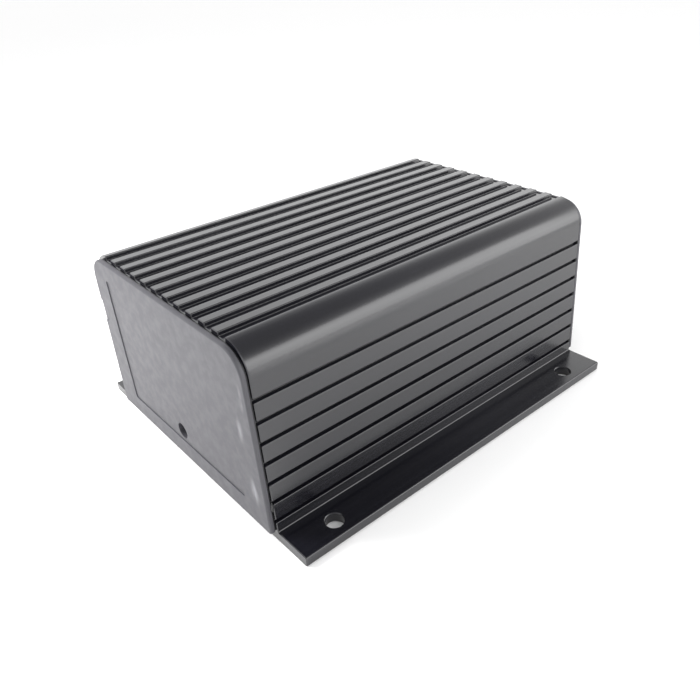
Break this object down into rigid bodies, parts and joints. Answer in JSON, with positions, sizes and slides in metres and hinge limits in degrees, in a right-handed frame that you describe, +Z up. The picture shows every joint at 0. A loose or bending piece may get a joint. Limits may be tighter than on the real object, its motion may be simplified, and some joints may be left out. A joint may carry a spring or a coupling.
{
  "type": "charge controller",
  "caption": "Bolt-down power controller in a finned extruded housing with wide mounting flanges, a blank end cap and bolted power terminals at the far end.",
  "frame": {"origin": "middle of the four mounting holes, on the underside", "axes": "+X along the extrusion from the blank end cap to the terminal end, +Y across it, +Z up from the base"},
  "size_m": [0.1939, 0.146, 0.0762],
  "materials": {
    "anodised_aluminium": "satin black anodised extrusion",
    "cap_plastic": "fine-grained dark moulding",
    "sealant": "satin black sealant",
    "zinc_steel": "zinc plated",
    "tinned_copper": "tin-plated copper",
    "brass_tab": "tin-plated brass",
    "led_lens": "clear tinted lens",
    "circuit_board": "solder-masked glass-epoxy board",
    "header_plastic": "moulded connector",
    "transistor_epoxy": "moulded epoxy package",
    "thermal_pad": "soft insulating pad",
    "plain_aluminium": "plain machined",
    "capacitor_sleeve": "shrink sleeve over an aluminium can",
    "shunt_metal": "plain resistance alloy",
    "trimmer_plastic": "moulded body",
    "rotor_plastic": "moulded rotor"
  },
  "bodies": {
    "controller": {"housing": "anodised_aluminium", "end_cap": "cap_plastic", "cap_sealant": "sealant", "terminal_cover": "cap_plastic", "cover_gasket": "sealant", "cover_screw_1": "zinc_steel", "cover_screw_2": "zinc_steel", "cover_screw_3": "zinc_steel", "cover_screw_4": "zinc_steel", "bus_bar_1": "tinned_copper", "terminal_bolt_1": "zinc_steel", "terminal_washer_1": "zinc_steel", "terminal_nut_1": "zinc_steel", "bus_bar_2": "tinned_copper", "terminal_bolt_2": "zinc_steel", "terminal_washer_2": "zinc_steel", "terminal_nut_2": "zinc_steel", "bus_bar_3": "tinned_copper", "terminal_bolt_3": "zinc_steel", "terminal_washer_3": "zinc_steel", "terminal_nut_3": "zinc_steel", "control_tab_1": "brass_tab", "control_tab_2": "brass_tab", "control_tab_3": "brass_tab", "control_tab_4": "brass_tab", "control_tab_5": "brass_tab", "status_light": "led_lens", "power_board": "circuit_board", "control_board": "circuit_board", "board_header": "header_plastic", "thermal_pad_near": "thermal_pad", "transistor_clamp_near": "plain_aluminium", "transistor_near_1": "transistor_epoxy", "transistor_near_2": "transistor_epoxy", "transistor_near_3": "transistor_epoxy", "clamp_screw_near_1": "zinc_steel", "clamp_screw_near_2": "zinc_steel", "thermal_pad_far": "thermal_pad", "transistor_clamp_far": "plain_aluminium", "transistor_far_1": "transistor_epoxy", "transistor_far_2": "transistor_epoxy", "transistor_far_3": "transistor_epoxy", "clamp_screw_far_1": "zinc_steel", "clamp_screw_far_2": "zinc_steel", "capacitor_1": "capacitor_sleeve", "capacitor_2": "capacitor_sleeve", "capacitor_3": "capacitor_sleeve", "capacitor_4": "capacitor_sleeve", "current_shunt": "shunt_metal", "trimmer_body": "trimmer_plastic"},
    "rotor": {"trimmer_rotor": "rotor_plastic"}
  },
  "joints": [
    {"name": "trimmer_turn", "type": "hinge", "parent": "controller", "child": "rotor", "pos_m": [-0.0774, 0.001, 0.017], "axis": [1, 0, 0], "range_deg": [-135, 135]}
  ]
}
